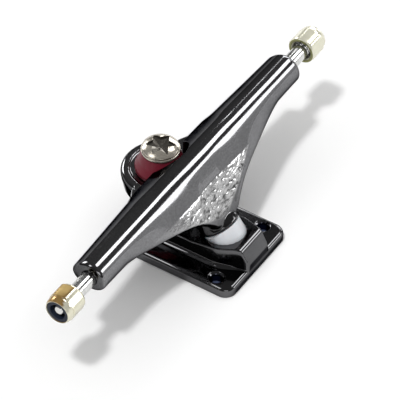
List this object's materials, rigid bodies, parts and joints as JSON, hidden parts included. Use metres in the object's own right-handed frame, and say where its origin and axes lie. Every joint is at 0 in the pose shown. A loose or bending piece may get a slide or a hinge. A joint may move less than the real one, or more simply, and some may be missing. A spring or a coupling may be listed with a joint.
{
  "type": "skateboard truck",
  "caption": "Skateboard truck: a drilled baseplate carries a cast hanger that steers on urethane bushings around an upright kingpin, with a through axle for wheels kept by lock nuts.",
  "frame": {"origin": "centre of the deck hole pattern, on the deck face of the baseplate", "axes": "+X along the axle, +Y from the pivot toward the kingpin, +Z away from the deck"},
  "size_m": [0.2244, 0.0755, 0.0553],
  "materials": {
    "baseplate_coat": "gloss black coating on cast aluminium",
    "hanger_coat": "gloss black coating, rough-cast panel on the front",
    "cup_urethane": "white urethane",
    "bushing_urethane": "wine red urethane",
    "axle_steel": "bright steel",
    "kingpin_nickel": "bright nickel plating",
    "plain_steel": "zinc plating",
    "gold_zinc": "yellow zinc plating",
    "nylon": "dark blue nylon"
  },
  "bodies": {
    "base": {"baseplate": "baseplate_coat", "pivot_cup": "cup_urethane", "kingpin_nut": "plain_steel", "kingpin_nut_insert": "nylon", "lower_washer": "plain_steel", "lower_bushing": "bushing_urethane", "upper_bushing": "bushing_urethane", "upper_washer": "kingpin_nickel"},
    "hanger": {"hanger": "hanger_coat", "axle": "axle_steel"},
    "kingpin": {"kingpin": "kingpin_nickel"},
    "left_nut": {"left_axle_nut": "gold_zinc", "left_nut_insert": "nylon"},
    "right_nut": {"right_axle_nut": "gold_zinc", "right_nut_insert": "nylon"}
  },
  "joints": [
    {"name": "hanger_steer", "type": "hinge", "parent": "base", "child": "hanger", "pos_m": [0, -0.02, 0.0124], "axis": [0, 0.8607, 0.5092], "range_deg": [-12, 12], "stiffness_Nm_per_rad": 14, "deforming": ["upper_bushing", "lower_bushing"]},
    {"name": "kingpin_turn", "type": "hinge", "parent": "base", "child": "kingpin", "pos_m": [0, 0.0182, 0.05], "axis": [0, 0, 1], "range_deg": [-180, 180]},
    {"name": "left_nut_turn", "type": "hinge", "parent": "hanger", "child": "left_nut", "pos_m": [-0.106, 0.001, 0.0458], "axis": [-1, 0, 0], "range_deg": [0, 360]},
    {"name": "right_nut_turn", "type": "hinge", "parent": "hanger", "child": "right_nut", "pos_m": [0.106, 0.001, 0.0458], "axis": [1, 0, 0], "range_deg": [0, 360]}
  ]
}
